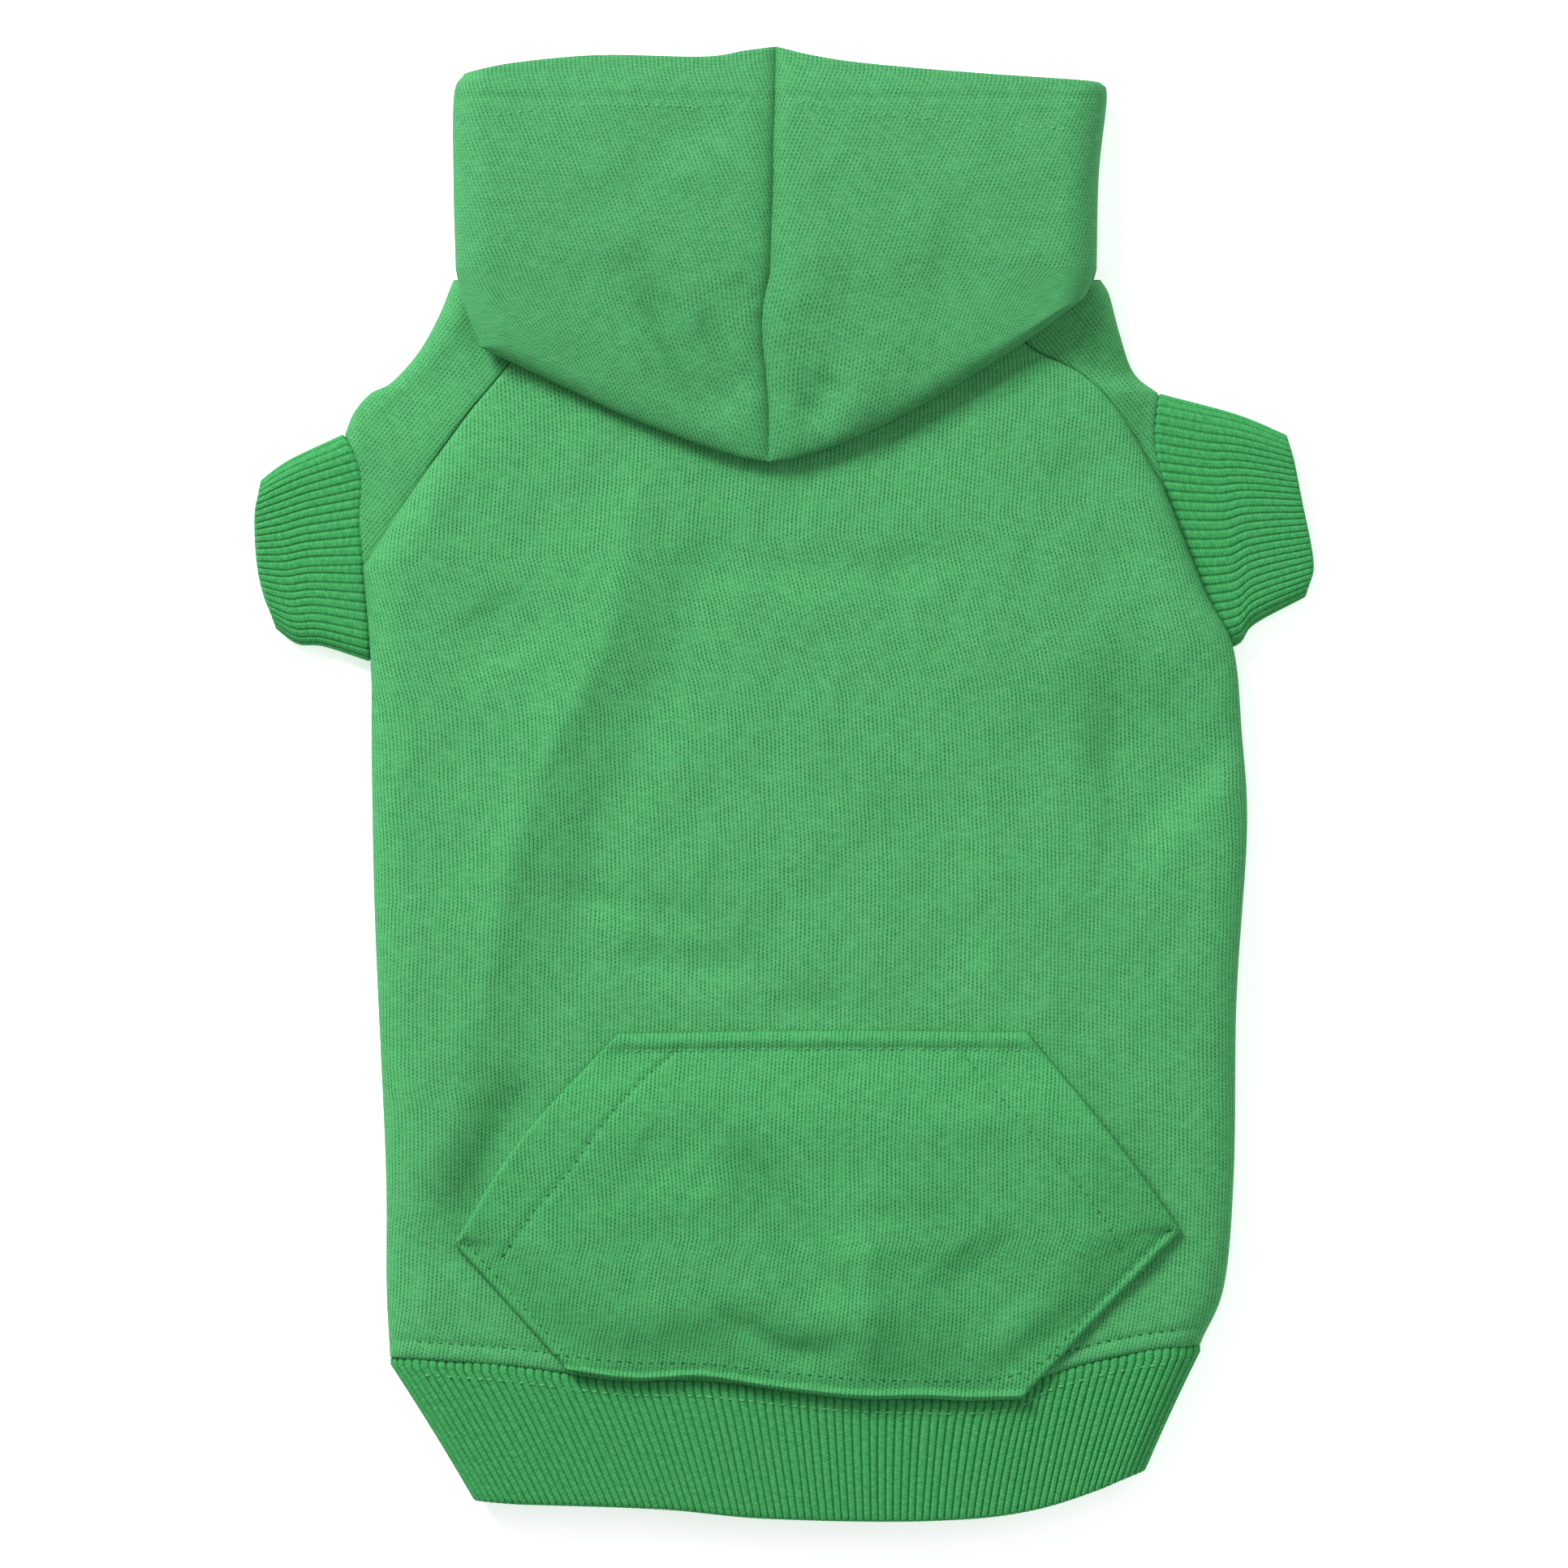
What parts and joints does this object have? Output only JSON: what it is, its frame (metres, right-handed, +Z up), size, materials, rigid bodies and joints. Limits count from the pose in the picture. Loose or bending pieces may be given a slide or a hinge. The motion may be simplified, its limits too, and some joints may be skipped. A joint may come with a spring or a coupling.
{
  "type": "dog hoodie",
  "caption": "Fleece dog hoodie lying flat, back up, with a hood laid over the shoulders, raglan sleeves, a pouch pocket, rib cuffs and a rib hem band.",
  "frame": {"origin": "bottom centre of the garment's box, on the surface that it lies on", "axes": "+X across the garment to the right sleeve as seen from above, +Y from the hem to the hood's face opening, +Z up out of the back panel"},
  "size_m": [0.3138, 0.4364, 0.028],
  "materials": {
    "body_fleece": "matt heathered fleece-backed jersey",
    "hood_fleece": "matt heathered fleece-backed jersey",
    "pocket_fleece": "matt heathered fleece-backed jersey",
    "rib_knit": "matt rib knit"
  },
  "bodies": {
    "root": {"back_panel": "body_fleece", "belly_panel": "body_fleece", "sleeve_left": "body_fleece", "sleeve_right": "body_fleece", "cuff_left": "rib_knit", "cuff_right": "rib_knit", "hem_band": "rib_knit", "hood_left": "hood_fleece", "hood_right": "hood_fleece", "pocket": "pocket_fleece"}
  },
  "joints": []
}
